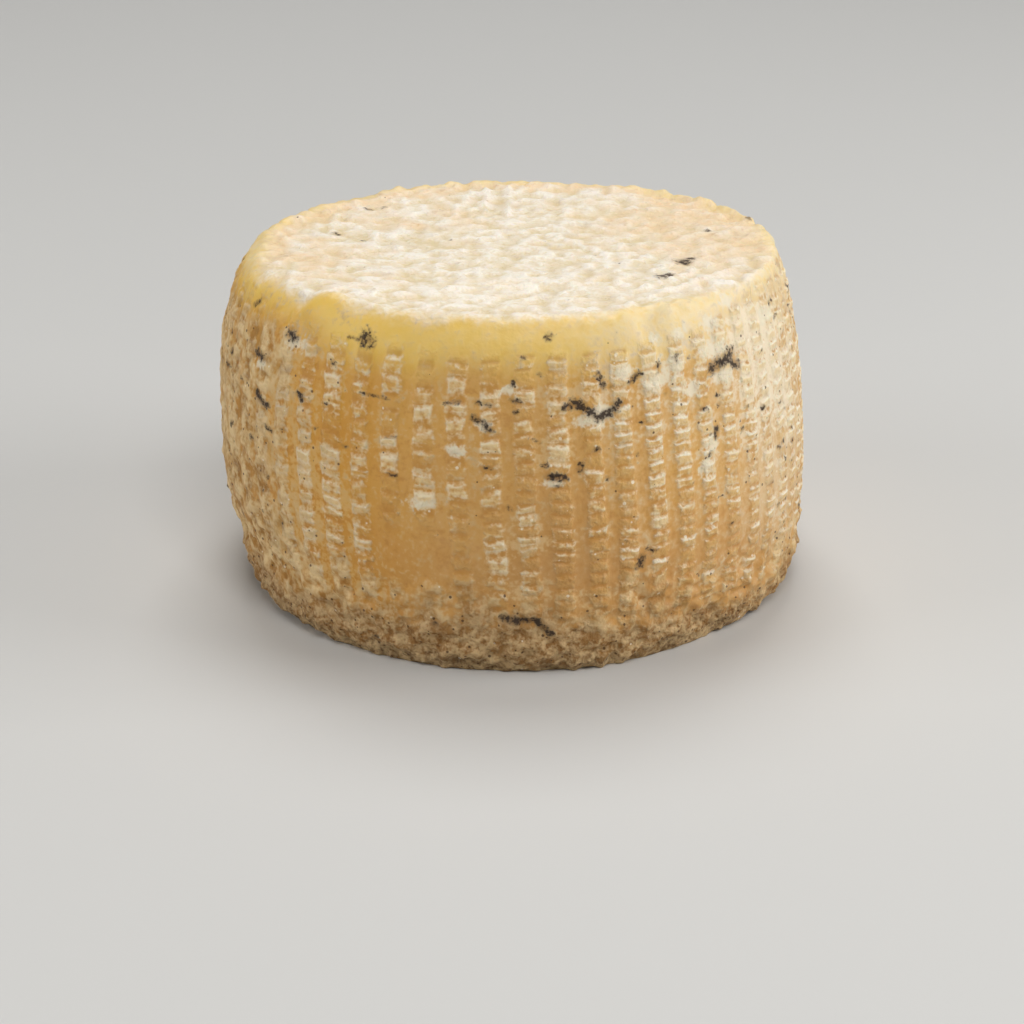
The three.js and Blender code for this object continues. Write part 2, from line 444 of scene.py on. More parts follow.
def off_line(aside, ahead, way_aside, way_ahead):
    """Offsets from the nearest place on a line, for points measured from where it starts."""
    squared_length = max(way_aside ** 2 + way_ahead ** 2, TINY)
    part = np.clip((aside * way_aside + ahead * way_ahead) / squared_length, 0, 1)
    return aside - part * way_aside, ahead - part * way_ahead


def fold(start, end):
    """A straight fold of the top between two places, 1 along its middle."""
    way = np.subtract(end, start)
    away = np.hypot(*off_line(smooth_x - start[0], smooth_y - start[1], *way))
    return np.exp(-(away / FOLD_WIDTH) ** 2)


dish = RIM_RISE * (share ** 4 - 1)
broad = 1 - np.abs(2 * lumps(4.2, seed=21) - 1)
narrow = lumps(2.7, seed=22, stretch=(1, 1.4, 1))
folds = sum(fold(*ends) for ends in CLOTH_FOLDS)
ridge = np.clip(0.25 * broad ** 2 + 0.7 * narrow + 0.25 * folds, 0, 1)
long_waves = WAVE_RELIEF * (lumps(30, seed=23) - 0.5)
face_relief = LUMP_RELIEF * (ridge - 0.35) + FOLD_RELIEF * folds + long_waves
face_lumps = face_relief[on_face]
print("top relief from", round(face_lumps.min(), 2), "to", round(face_lumps.max(), 2), "mm")

# %% [markdown]
# ## Every point in its real place
# A displacement modifier could push the points, but it would know only one direction. Here the side is
# pushed along its own outward direction and the flat top straight up, and the top tilts a little towards
# the front. The wheel is then set over the middle of the solid that it stands for.

# %% Push every point to its real place
FACE_BLEND = 3

face_edge = step(WHEEL_HEIGHT - FACE_BLEND, WHEEL_HEIGHT, height)
relief = np.where(on_side, side_relief + rim_lumps + face_edge * face_relief, 0.0)
lift = np.where(on_face, dish + face_relief + rim_lumps, 0.0)
x = smooth_x + relief * spread("out") * sine
y = smooth_y - relief * spread("out") * cosine
upper = np.clip((height - BELLY_HEIGHT) / (WHEEL_HEIGHT - BELLY_HEIGHT), 0, 1) ** 2
z = height + relief * spread("up") - upper * FACE_TILT * y + lift
places = np.stack([x, y, np.maximum(z, 0)], axis=1)
places[height == 0, 2] = 0.0
solid_low, solid_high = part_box("cheese_wheel")
solid_middle = (np.array(solid_low) + np.array(solid_high)) / 2 / MILLIMETRE
own_middle = (places.min(axis=0) + places.max(axis=0)) / 2
places[:, :2] += solid_middle[:2] - own_middle[:2]
print("wheel spans", np.round(np.ptp(places, axis=0), 1), "mm")

# %% [markdown]
# ## Where the mould grew
# The dark mould sits in clusters and short chains, mostly along the gaps between pads. It could be painted
# by hand on the mesh. A list of strokes does the same and can be changed: each is a width and the places
# that it passes, as angle from the front and height. The shader breaks these soft strokes up into dots.

# %% Strokes of dark mould
MOULD_STROKES = [
    (2.3, [(-29.6, 95.4), (-28.8, 94.4)]), (0.8, [(-33, 94.5), (-30, 95)]),
    (1.9, [(-48, 91.6), (-46.6, 90.8)]), (1.9, [(-58, 82.6), (-56, 82.2)]),
    (1.1, [(-35.6, 87.4)]), (1.4, [(-43.4, 76.4), (-42.4, 75.6)]),
    (1.6, [(-57, 71.5), (-53, 69.5)]), (1.0, [(-52.8, 63.7), (-51, 62.7)]),
    (1.2, [(-58.4, 57.6)]), (1.2, [(-63.8, 94.2), (-62.6, 95.6)]),
    (1.3, [(-71, 77.3), (-69.6, 78.4)]), (1.2, [(-74, 72.3), (-71.8, 72.8)]),
    (1.3, [(-68, 57)]), (0.9, [(-57.2, 38.6)]), (0.9, [(-55.6, 36.1)]),
    (1.2, [(-67.6, 28.5)]), (0.7, [(-28.8, 80.9), (-22.8, 80.7)]),
    (0.8, [(-32.6, 65.2), (-31.6, 65.4)]), (0.9, [(-22.6, 59.8), (-21.4, 59.6)]),
    (0.7, [(-23.2, 70.2), (-21.4, 70.5)]), (0.9, [(-11.6, 81), (-9.2, 81.6)]),
    (0.9, [(-6, 81.5), (-3.4, 81.2)]), (1.3, [(-6.6, 77.6), (-5, 76.4), (-3.8, 74.6)]),
    (0.9, [(-4.6, 64.2), (-3.8, 64)]), (1.0, [(2.4, 93)]), (0.9, [(0.6, 87.2), (0.4, 86)]),
    (1.0, [(0.4, 82.4), (1.8, 82)]), (1.0, [(1.2, 79.2)]), (1.2, [(6.8, 98.2), (7.2, 97.6)]),
    (0.9, [(5.6, 88.8)]), (1.1, [(6.2, 64.6)]), (1.5, [(7, 61.4), (9.4, 61)]), (1.0, [(8.2, 58.6)]),
    (1.1, [(12.6, 64.4), (12.4, 62.6)]), (0.6, [(3.4, 72.4), (5.4, 70.8)]),
    (1.7, [(10.6, 80.2), (12.2, 81), (14.4, 78.8), (16.4, 76.6), (18.6, 77.4), (20.4, 80)]),
    (1.2, [(16.6, 88), (17.2, 86), (17.6, 84.6)]), (0.9, [(19.2, 84.4)]),
    (1.2, [(23, 84.8), (24.8, 86.8)]), (1.0, [(29.2, 88.4), (29, 86.4)]),
    (1.0, [(33.4, 90.2), (33, 88)]), (0.9, [(36.4, 88.5)]), (0.8, [(30.4, 80.4)]),
    (0.7, [(23.2, 78.4)]), (0.7, [(24.4, 74), (25.6, 73.6)]),
    (1.1, [(15.8, 68.2)]), (0.9, [(23.6, 65.2)]), (0.9, [(17.6, 59.8)]),
    (2.3, [(42, 84), (45, 85.2), (47.4, 86.6)]), (1.8, [(46.4, 85), (48.8, 82.6)]),
    (1.0, [(42.6, 76.4)]), (1.3, [(41.8, 67.4), (41.4, 65)]), (1.2, [(39.4, 60.8)]),
    (0.9, [(50.4, 70.3)]), (0.9, [(55.4, 68.2)]), (0.9, [(63.2, 65.7)]), (1.2, [(65.6, 94)]),
    (1.1, [(68.4, 55.4)]), (1.1, [(68.8, 51)]), (1.1, [(60.8, 34.9)]), (1.2, [(64.4, 35.4)]),
    (0.9, [(-0.8, 53), (-0.4, 52.2)]), (0.8, [(20.4, 40.6)]), (1.4, [(23.4, 35), (23, 32)]),
    (0.8, [(24.4, 37), (26.4, 36.2)]), (0.8, [(36.4, 24.4)]),
    (1.5, [(-2.6, 19.2), (0, 18), (3, 18.6), (4.4, 16.4), (5.8, 14.2)]), (1.3, [(-16, 15.8)]),
    (1.2, [(-29.6, 7.5)]), (1.0, [(-47.6, 5)]), (0.9, [(-12.8, 2.5)]), (0.9, [(18.4, 3.2)]),
]
STROKE_FADE = 1.9
STROKE_FLATNESS = 1.3


def stroke(width, passes):
    """How deep inside a stroke of mould each point lies. One place makes a dot. Thin strokes stay weak."""
    nearest = np.full(len(turn), np.inf)
    for first, last in zip(passes, passes[1:] or passes):
        round_way = math.radians(last[0] - first[0]) * BELLY_RADIUS
        beside = np.radians(apart(first[0])) * BELLY_RADIUS
        aside, above = off_line(beside, height - first[1], round_way, last[1] - first[1])
        nearest = np.minimum(nearest, np.hypot(aside, STROKE_FLATNESS * above))
    return np.clip(1 - nearest / (STROKE_FADE * width), 0, 1) * min(1, 0.5 + 0.35 * width)


mould = np.zeros(len(turn))
for stroke_width, stroke_places in MOULD_STROKES:
    mould = np.maximum(mould, stroke(stroke_width, stroke_places))
print(len(MOULD_STROKES), "strokes of mould")

# %% [markdown]
# ## Mould by chance
# Mould grows on the back too, and as small dots between the strokes. Copies of the front's strokes would
# be noticed, so these are seeded chance strokes of the same kind. The top has a few round spots.

# %% Chance strokes and spots on the top
HIDDEN_STROKES = 46
HIDDEN_ANGLES = (76, 284)
HIDDEN_HEIGHTS = (8, 96)
HIDDEN_WANDER = (4, 3)
HIDDEN_WIDTHS = (0.7, 1.9)
SMALL_STROKES = 46
SMALL_ANGLES = (34, 84)
SMALL_HEIGHTS = (34, 96)
SMALL_WANDER = (1.2, 1)
SMALL_WIDTHS = (0.45, 0.9)
TOP_MOULD = [
    (50, -16.5, 2.2), (52.5, -14, 1.4), (42.8, -33, 1.8), (45, -31, 1.2), (59.5, 17, 1.0),
    (-55, 16, 1.2), (-46.5, 9, 0.8), (-46.5, 45, 1.2), (-42, 46, 1.0), (-20, 8, 0.7), (24, -8, 0.7),
]
TOP_FADE = 2.4


def chance_stroke(start, wander_round, wander_up, widths):
    """A short stroke that wanders from its start by chance."""
    end_angle = start[0] + random.uniform(-wander_round, wander_round)
    end_height = start[1] + random.uniform(-wander_up, wander_up)
    return stroke(random.uniform(*widths), [start, (end_angle, end_height)])


for number in range(HIDDEN_STROKES):
    start = (random.uniform(*HIDDEN_ANGLES), random.uniform(*HIDDEN_HEIGHTS))
    mould = np.maximum(mould, chance_stroke(start, *HIDDEN_WANDER, HIDDEN_WIDTHS))
for number in range(SMALL_STROKES):
    hand = random.choice([-1, 1])
    start = (hand * random.uniform(*SMALL_ANGLES), random.uniform(*SMALL_HEIGHTS))
    mould = np.maximum(mould, chance_stroke(start, *SMALL_WANDER, SMALL_WIDTHS))
mould *= on_side
for mould_x, mould_y, mould_size in TOP_MOULD:
    away_on_top = np.hypot(smooth_x - mould_x, smooth_y - mould_y) / (TOP_FADE * mould_size)
    mould = np.maximum(mould, np.where(on_face, np.clip(1 - away_on_top, 0, 1), 0))
print("mould touches", int((mould > 0.3).sum()), "points")

# %% [markdown]
# ## Where the bloom lies
# The pale bloom is thickest on the pads, in patches, and in a few places it has grown over the bands as
# well. On the right the pads keep it mostly round their edges. Just its thickness belongs to the mesh,
# since its grain is far finer than the net. White fluff sits beside the larger mould spots.

# %% Thickness of the bloom
BLOOM_PATCHES = [
    (-16.5, 53, 3.5, 3.5, 0.7), (-34, 49, 3, 3, 0.6), (-10.3, 69, 2.5, 2.5, 0.5), (43, 91, 9, 5, 0.4),
    (-46, 88, 5, 4, 0.5), (17, 75, 5, 4, 0.6), (40, 63, 4, 5, 0.6), (-1, 40, 4, 12, 0.4),
    (28, 85, 9, 5, 0.6), (57, 88, 12, 6, 0.5), (-3, 28, 3, 5, 0.3), (-42, 60, 18, 45, 0.1),
    (8, 50, 14, 34, -0.24), (30, 24, 40, 14, -0.25),
]
OVERGROWN_PATCHES = [
    (14, 84, 10, 9), (8, 66, 5, 10), (4, 42, 6, 9), (-17, 53, 4, 4), (-34, 48, 6, 6), (56, 90, 12, 6),
    (0, 22, 70, 9), (-16, 20, 20, 7), (-48, 56, 16, 40), (62, 72, 16, 22),
]
FLUFF_PATCHES = [
    (15, 76, 4, 2.5), (18, 78.5, 3, 2), (33, 88.5, 3, 3), (29, 84, 4, 3), (43, 89, 5, 3), (45, 81, 4, 3),
    (40, 63, 2.5, 3), (38, 57, 2, 3), (-46, 89.5, 3, 2.5), (-56.5, 80.5, 2.5, 2), (-5, 75.5, 2, 2),
    (-10, 68.5, 2.5, 2), (0, 85, 2, 2), (7.5, 59.5, 2.5, 1.5), (-17, 52.5, 3, 2), (22, 88, 3, 2),
    (36, 80, 3, 3), (62, 92, 4, 3), (29, 95, 2, 2), (35, 95.5, 2, 2), (43, 96, 3, 2.5), (49, 100, 3, 2),
]
BLOOM_TOP = (84, 94)
OUTLINE_LUMPS = (0.30, 0.55)
OUTLINE_TOP = (90, 80)

bloom = 0.5 + 0.02 * right_side + 0.2 * far_right + 0.14 * worn + 0.5 * (lumps(11, seed=31) - 0.5)
bloom += gather(spot, BLOOM_PATCHES)
bloom -= 0.8 * bare + 0.4 * step(*BLOOM_TOP, height) * (1 - right_side)
bloom = np.clip(bloom, 0, 1) * marks_kept
overgrown = np.clip(sum(spot(*where) for where in OVERGROWN_PATCHES), 0, 1) * on_side
fluff = np.clip(sum(spot(*where) for where in FLUFF_PATCHES), 0, 1) * on_side
outlined = right_side * step(*OUTLINE_LUMPS, lumps(9, seed=32)) * step(*OUTLINE_TOP, height)
print("bloom is", round(bloom[on_side].mean(), 2), "thick on average over the side")

# %% [markdown]
# ## Where crust and skin lie
# The worn side and the foot have a sandy crust, dirtiest at the very bottom. The skin of the top ends in a
# ragged edge on the shoulder, with bays, and is peach-coloured in places. Painting these masks by hand
# would be quicker once, but they would be lost whenever the net changes.

# %% Masks of crust and skin
CRUST_FADE = (95, 85)
CLEAN_FOOT = (45, 20, 30, 18)
GRIME_FADE = (10, 1)
SKIN_EDGE = -1.5
SKIN_EDGE_BEHIND = 3
SKIN_FADE = (-4.5, 4)
SKIN_BAYS = [(-62, 18, -1.5), (-49, 3, -4), (-41, 4.5, 1.0), (30, 14, 4.5)]
BAY_REACH_UP = 30
PEACH_RIM = (14, 3)
PEACH_PATCHES = [
    (46, 30, 20, 26, 1), (60, -8, 12, 22, 0.8), (-58, -18, 12, 24, 0.5), (-40, 44, 26, 20, 0.5),
    (-60.6, 7.7, 4, 4, 1), (-67, -12, 4, 4, 1), (-32.5, 26.6, 4, 4, 1),
]


def top_spot(middle_x, middle_y, reach_x, reach_y):
    """A soft spot on the top, 1 in its middle, all in millimetres."""
    return np.exp(-((smooth_x - middle_x) / reach_x) ** 2 - ((smooth_y - middle_y) / reach_y) ** 2)


sandy = 0.85 * worn + 0.9 * crumbly * (1 - 0.4 * bare - 0.5 * spot(*CLEAN_FOOT)) + 0.1 * far_right
sandy = np.clip(sandy, 0, 1) * step(*CRUST_FADE, height - 3 * worn)
grime = step(*GRIME_FADE, height + 5 * ragged) * (1 - 0.5 * far_right)
skin_edge = SKIN_EDGE + SKIN_EDGE_BEHIND * behind
skin_edge += sum(way * spot(bay, WHEEL_HEIGHT, reach, BAY_REACH_UP) for bay, reach, way in SKIN_BAYS)
pale = step(*(skin_edge + fade for fade in SKIN_FADE), past_rim + 2.5 * ragged + 3 * uneven)
peach = gather(top_spot, PEACH_PATCHES) + 0.8 * behind * step(*PEACH_RIM, past_rim)
peach = np.clip(1.2 * peach + lumps(6, seed=33) - 0.55, 0, 1)
print("crust covers", round(sandy[on_side].mean(), 2), "of the side")

# %% [markdown]
# ## Where the curd changes
# Bare curd is waxy on the shoulder, deeper amber low on the side and in a few patches, and creamier on the
# right, where a thin veil covers it. The deeper amber towards the bottom is partly painted shade. One more
# noise could vary it by chance, but here each change has its own place.

# %% Masks of the curd
WAXY_RISE = (84, 96)
DEEP_FADE = (66, 8)
DEEP_PATCHES = [(7, 55, 13, 40, 1.3), (40, 28, 28, 16, 1.3), (0, 30, 20, 14, 0.5)]
VEIL_RISE = (8, 44)
VEIL_THICKENS = (66, 84)
VEIL_TOP = (103, 96)
VEIL_THINS = (68, 84)
VEIL_HOLE = (28, 88, 16, 9)
CREAM_STARTS = (-6, 34)
CREAM_ENDS = (160, 100)
CREAM_TOP = (80, 99)
CREAM_SIDE = (10, 60)
CREAM_BACK = (60, 85)
CREAM_RIM = (96, 101)
CREAM_FRONT = (-36, -8)

waxy = step(*WAXY_RISE, height + 5 * uneven - 4 * worn - 4 * far_right)
# darker amber towards the bottom and in a few patches, partly as painted shade
deep = step(*DEEP_FADE, height) + gather(spot, DEEP_PATCHES)
veil = 0.75 * far_right + 0.42 * right_side + 0.35 * right_side * step(*VEIL_THICKENS, height)
veil = np.clip(veil, 0, 1) * step(*VEIL_TOP, height) * (0.2 + 0.8 * step(*VEIL_RISE, height))
veil *= 1 - 0.4 * step(*VEIL_THINS, degrees) - 0.7 * spot(*VEIL_HOLE)
creamy = step(*CREAM_STARTS, degrees) * step(*CREAM_ENDS, degrees)
creamy *= np.maximum(step(*CREAM_TOP, height), 0.15 * step(*CREAM_SIDE, height))
creamy = np.maximum(creamy, 0.8 * step(*CREAM_BACK, np.abs(degrees)) * step(*CREAM_RIM, height))
creamy = np.maximum(creamy, 0.2 * step(*CREAM_FRONT, degrees) * step(*CREAM_ENDS, degrees))
print("veil covers", round(veil[on_side].mean(), 2), "of the side")

# %% [markdown]
# ## One closed mesh
# Neighbouring rings are stitched into triangles. Where a ring has fewer points than the one outside it,
# each of its points serves several outer ones. The values that the shader needs go along as attributes,
# which hold any number, unlike colours painted on the points.


# %% Stitch the rings
def stitch(lower, higher):
    """Triangles between two rings of which one has a whole number of times the other's points."""
    low_count = counts[lower]
    high_count = counts[higher]
    many = max(low_count, high_count)
    column = np.arange(many)
    low_here = starts[lower] + column * low_count // many
    low_next = starts[lower] + (column + 1) * low_count // many % low_count
    high_here = starts[higher] + column * high_count // many
    high_next = starts[higher] + (column + 1) * high_count // many % high_count
    first = np.stack([low_here, low_next, high_next], axis=1)
    second = np.stack([low_here, high_next, high_here], axis=1)
    both = np.concatenate([first, second])
    whole = (both[:, 0] != both[:, 1]) & (both[:, 1] != both[:, 2]) & (both[:, 2] != both[:, 0])
    return both[whole]


triangles = np.concatenate([stitch(lower, lower + 1) for lower in range(len(rings) - 1)])
skin = bpy.data.meshes.new("cheese")
skin.from_pydata((places * MILLIMETRE).tolist(), [], triangles.tolist())
on_base = (height[triangles] == 0).all(axis=1)
skin.polygons.foreach_set("use_smooth", ~on_base)
FIELDS = {
    "rung": rung, "rail": rail, "luck": luck, "kept": kept, "bloom": bloom, "outlined": outlined,
    "overgrown": overgrown, "fluff": fluff, "mould": mould, "sandy": sandy, "clump": clump, "foot": foot,
    "grime": grime, "pale": pale, "ridge": ridge, "peach": peach, "waxy": waxy, "deep": deep,
    "veil": veil, "creamy": creamy,
}
for name, values in FIELDS.items():
    layer = skin.attributes.new(name, "FLOAT", "POINT")
    layer.data.foreach_set("value", values.astype(np.float32))
cheese = bpy.data.objects.new("cheese", skin)
bpy.context.collection.objects.link(cheese)
print("cheese has", len(skin.vertices), "points and", len(skin.polygons), "triangles")

# %% [markdown]
# ## A flat plan of the skin
# So that its colours can be baked into one square picture for other programs, every face needs a place in
# that square. An automatic unwrap would cut this lumpy skin into thousands of scraps. The cheese unwraps
# like its own label instead: the side as two long strips, and the top and base as two discs below them.

# %% Unwrap the side as strips and the faces as discs
PLAN = 1024
PLAN_MARGIN = 6
STRIP_HEIGHT = 338
DISC_RADIUS = 158
FIRST_SIDE_RING = 2
last_side_ring = FIRST_SIDE_RING + len(row_heights) - 1
half_round = AROUND // 2
ring_of_point = np.repeat(np.arange(len(rings)), counts)
number_in_ring = np.concatenate([np.arange(points) for points in counts])

lowest_ring = ring_of_point[triangles].min(axis=1)
corner_column = number_in_ring[triangles]
over_seam = np.ptp(corner_column, axis=1) > half_round
corner_column = corner_column + AROUND * (over_seam[:, None] & (corner_column < half_round))
strip = corner_column.min(axis=1) // half_round
strip_u = PLAN_MARGIN + (corner_column / half_round - strip[:, None]) * (PLAN - 2 * PLAN_MARGIN)
up_strip = 1 + past_rim[triangles] / row_lengths[-1]
strip_v = PLAN - (strip[:, None] + 1) * (STRIP_HEIGHT + PLAN_MARGIN) + up_strip * STRIP_HEIGHT
disc_middle = PLAN_MARGIN + DISC_RADIUS
beside_disc = (share * np.sin(turn))[triangles] * DISC_RADIUS
along_disc = (share * -np.cos(turn))[triangles] * DISC_RADIUS
on_strip = ((lowest_ring >= FIRST_SIDE_RING) & (lowest_ring < last_side_ring))[:, None]
under = (lowest_ring < FIRST_SIDE_RING)[:, None]
disc_u = np.where(under, 3 * disc_middle - beside_disc, disc_middle + beside_disc)
plan_u = np.where(on_strip, strip_u, disc_u)
plan_v = np.where(on_strip, strip_v, disc_middle + along_disc)
plan = np.stack([plan_u, plan_v], axis=2)
skin.uv_layers.new(name="OFBake").data.foreach_set("uv", (plan / PLAN).astype(np.float32).ravel())
print("plan spans", plan.min(axis=(0, 1)).round(), "to", plan.max(axis=(0, 1)).round(), "of", PLAN)

# %% [markdown]
# ## Shader maths as Python sums
# A material is a web of nodes, and drawing it by hand hides the sums it makes. One small class wraps a
# node's output, so that a sum written in Python adds the Math nodes for it. Colours are mixed, never
# multiplied by a Math node, because that would turn them grey.


# %% A socket that can be added and multiplied
def find_socket(sockets, key):
    """A socket by its place, its identifier or its name."""
    if isinstance(key, int):
        return sockets[key]
    return next((one for one in sockets if one.identifier == key), None) or sockets[key]


def sum_of(operation, reflected=False):
    """A method that adds one Math node. Its reflected form swaps the two values, so 1 - mask works."""
    def method(self, other):
        return self.maths(operation, *((other, self) if reflected else (self, other)))
    return method


class Shade:
    """One output of a material's nodes. Sums on it add Math nodes."""

    def __init__(self, tree, socket=None):
        self.tree = tree
        self.socket = socket

    def node(self, kind, settings=None, sockets=None, output=0):
        """Adds any node: its settings first, then the values or links of its sockets."""
        made = self.tree.nodes.new(kind)
        for name, value in (settings or {}).items():
            setattr(made, name, value)
        for key, value in (sockets or {}).items():
            target = find_socket(made.inputs, key)
            if isinstance(value, Shade):
                self.tree.links.new(value.socket, target)
            else:
                target.default_value = value
        return Shade(self.tree, find_socket(made.outputs, output) if made.outputs else None)

    def beside(self, output):
        """Another output of the same node."""
        return Shade(self.tree, find_socket(self.socket.node.outputs, output))

    def maths(self, operation, *values):
        """One Math node."""
        return self.node("ShaderNodeMath", {"operation": operation}, dict(enumerate(values)))

    __add__ = sum_of("ADD")
    __radd__ = sum_of("ADD", reflected=True)
    __sub__ = sum_of("SUBTRACT")
    __rsub__ = sum_of("SUBTRACT", reflected=True)
    __mul__ = sum_of("MULTIPLY")
    __rmul__ = sum_of("MULTIPLY", reflected=True)
    least = sum_of("MINIMUM")
    most = sum_of("MAXIMUM")

    def __neg__(self):
        return 0.0 - self

    def __abs__(self):
        return self.maths("ABSOLUTE", self)

    def part(self):
        """What is left of this value above its whole number."""
        return self.maths("FRACT", self)

    def between(self, low, high):
        """A soft step on this value: 0 below low, 1 above high."""
        limits = {"Value": self, "From Min": low, "From Max": high}
        return self.node("ShaderNodeMapRange", {"interpolation_type": "SMOOTHSTEP"}, limits)

    def cover(self, under, over):
        """A colour that is under where this mask is 0 and over where it is 1."""
        colours = {"Factor_Float": self, "A_Color": under, "B_Color": over}
        return self.node("ShaderNodeMix", {"data_type": "RGBA"}, colours, "Result_Color")


print("a shade can", ", ".join(name for name in vars(Shade) if not name.startswith("_")))

# %% [markdown]
# ## The rind
# A natural rind is waxy curd showing through a dusty bloom. It could be one painted picture, but its grain
# would be only as fine as the picture. Noise of a few sizes, cut by the values kept in the mesh, stays fine
# close up. The layers go on as they grew: curd, bloom, sandy crust, skin, foot, and the mould last.

# %% Noise of the rind's own sizes
SPECK_SPACING = 2.6
STREAK_SQUEEZE = (0.22, 0.22, 1)

rind = bpy.data.materials.new("natural_rind")
rind.use_nodes = True
rind.node_tree.nodes.clear()
sheet = Shade(rind.node_tree)
on_rind = sheet.node("ShaderNodeTexCoord", output="Object")


def kept_in_mesh(name):
    """A value kept at each point of the mesh."""
    return sheet.node("ShaderNodeAttribute", {"attribute_name": name}, output="Fac")


def noise(size, detail=1.0, where=on_rind):
    """Soft noise around 0, about this many millimetres from lump to lump."""
    sockets = {"Vector": where, "Scale": 1 / (size * MILLIMETRE), "Detail": detail}
    return sheet.node("ShaderNodeTexNoise", None, sockets, "Fac") - 0.5


def count_nodes(layer):
    """Prints how many nodes the rind has once a layer is on."""
    print("with", layer, "the rind has", len(rind.node_tree.nodes), "nodes")


dust = noise(0.7)
sand = noise(1.3, detail=2.0)
crumb = noise(2.6, detail=2.0)
clod = noise(4.5)
patch = noise(8.0)
cloud = noise(26.0)
lying = sheet.node("ShaderNodeVectorMath", {"operation": "MULTIPLY"}, {0: on_rind, 1: STREAK_SQUEEZE})
streak = noise(1.4, where=lying)
speck_sockets = {"Vector": on_rind, "Scale": 1 / (SPECK_SPACING * MILLIMETRE)}
speck_away = sheet.node("ShaderNodeTexVoronoi", None, speck_sockets, "Distance")
speck_chance = sheet.node("ShaderNodeSeparateColor", None, {"Color": speck_away.beside("Color")}, "Red")
count_nodes("its noise")

# %% [markdown]
# ## Curd
# Bare curd is amber and mottled, buttery and smooth on the shoulder, and creamier to the right under a
# thin veil. One colour would look like plastic, so noise of several sizes mixes a few near tones, and the
# masks pull them deeper or paler. Screens store colours in curved steps and nodes work in linear light, so
# each tone is turned from one to the other.


# %% Curd
def tone(red, green, blue):
    """A colour by its screen values from 0 to 255, as the linear colour that nodes work in."""
    parts = [part / 255 for part in (red, green, blue)]
    linear = [part / 12.92 if part <= 0.04045 else ((part + 0.055) / 1.055) ** 2.4 for part in parts]
    return (*linear, 1.0)


AMBER = tone(206, 145, 51)
HONEY = tone(217, 162, 69)
DEEP_AMBER = tone(187, 125, 44)
PALE_AMBER = tone(225, 180, 106)
BUTTER = tone(240, 200, 98)
CREAM_BUTTER = tone(246, 226, 182)
VEIL = tone(228, 202, 160)


def lay(under, *layers):
    """Lays colours over one another, each through its own mask."""
    for mask, colour in layers:
        under = mask.cover(under, colour)
    return under


waxiness = kept_in_mesh("waxy")
deepness_and_shade = kept_in_mesh("deep")
veiling = kept_in_mesh("veil")
mottle = 0.9 * sand + 0.9 * crumb
creaminess = kept_in_mesh("creamy") + 0.6 * waxiness * (patch + 0.4 * crumb)
veiled = (veiling + 0.9 * crumb + 0.7 * patch + 0.6 * sand).between(0.2, 1.0)
curd = lay(
    AMBER,
    (0.5 + 1.6 * cloud, HONEY),
    ((mottle + 1.2 * patch).between(0.0, 0.5) * 0.6, PALE_AMBER),
    ((-mottle - patch).between(0.1, 0.5) * 0.5, DEEP_AMBER),
    # partly painted shade: darker amber low on the side
    (deepness_and_shade * 0.34, DEEP_AMBER),
    (waxiness, BUTTER),
    (creaminess * (0.8 + 1.2 * crumb), CREAM_BUTTER),
    (veiled * (0.3 + 0.4 * veiling), VEIL),
)
count_nodes("the curd")

# %% [markdown]
# ## Edges of the pads
# The colour must know where a pad ends more finely than the net does. So the shader works out the depth
# inside the pad again from the ladder's side and the count of pads, and shifts it with noise. That gives
# ragged edges, and separate masks for the whole pad, its edge and its upper lip.

# %% Edges of the pads
marks_left = kept_in_mesh("kept").between(0.05, 0.5)
side_depth = kept_in_mesh("rail")
rung_part = kept_in_mesh("rung").part()
sandiness = kept_in_mesh("sandy")
pad_scale = PAD_SIZE / (1 - GAP_SHARE)
rung_depth = ((1 - GAP_SHARE) / 2 - abs(rung_part - 0.5)) * pad_scale
top_depth = (1 - GAP_SHARE / 2 - rung_part) * pad_scale
pad_part = (rung_part - GAP_SHARE / 2) * (1 / (1 - GAP_SHARE))
shift = (crumb + 0.5 * sand) * (1 + 0.8 * sandiness)
pad_depth = side_depth.least(rung_depth) + shift
in_pad = pad_depth.between(-0.6, 0.65) * marks_left
pad_edge = 1 - pad_depth.between(0.2, 1.0)
lit_upper_lip = 1 - (top_depth + shift).between(0.45, 1.05)
in_ladder = (side_depth + shift).between(-0.5, 0.6) * marks_left
count_nodes("the pads")

# %% [markdown]
# ## Bloom
# The bloom is a dry white film. It fills some pads, lies only along the lips of others, leaves a trace on
# the rest, and strays onto the bands where it is thick. The bright lines on the upper lips are partly bloom
# and partly a painted highlight, where a raised lip would catch the light from above, and the brown laid
# first in the gaps between pads is painted shade. One mask with one colour would look printed, so each of
# these is its own mask, and they go on from the faintest to the brightest.

# %% Bloom on the pads
# painted shade: brown for the gaps between the pads of a ladder
GAP_SHADE = tone(186, 129, 52)
THIN_BLOOM = tone(219, 176, 104)
BLOOM = tone(239, 213, 163)
DUSTY_BLOOM = tone(220, 188, 138)
PALE_BLOOM = tone(248, 234, 206)
BRIGHT_BLOOM = tone(253, 245, 224)

outlines = kept_in_mesh("outlined")
thickness = kept_in_mesh("bloom") + 0.7 * (kept_in_mesh("luck") - 0.55) - 0.08 * deepness_and_shade
film = (thickness + streak + 1.3 * crumb + 0.7 * sand).between(0.2, 0.9)
filled = in_pad * film * (1 - 0.42 * outlines)
line_strength = (thickness + 0.9 * crumb + 0.7 * sand + 0.6 * patch).between(0.05, 0.6)
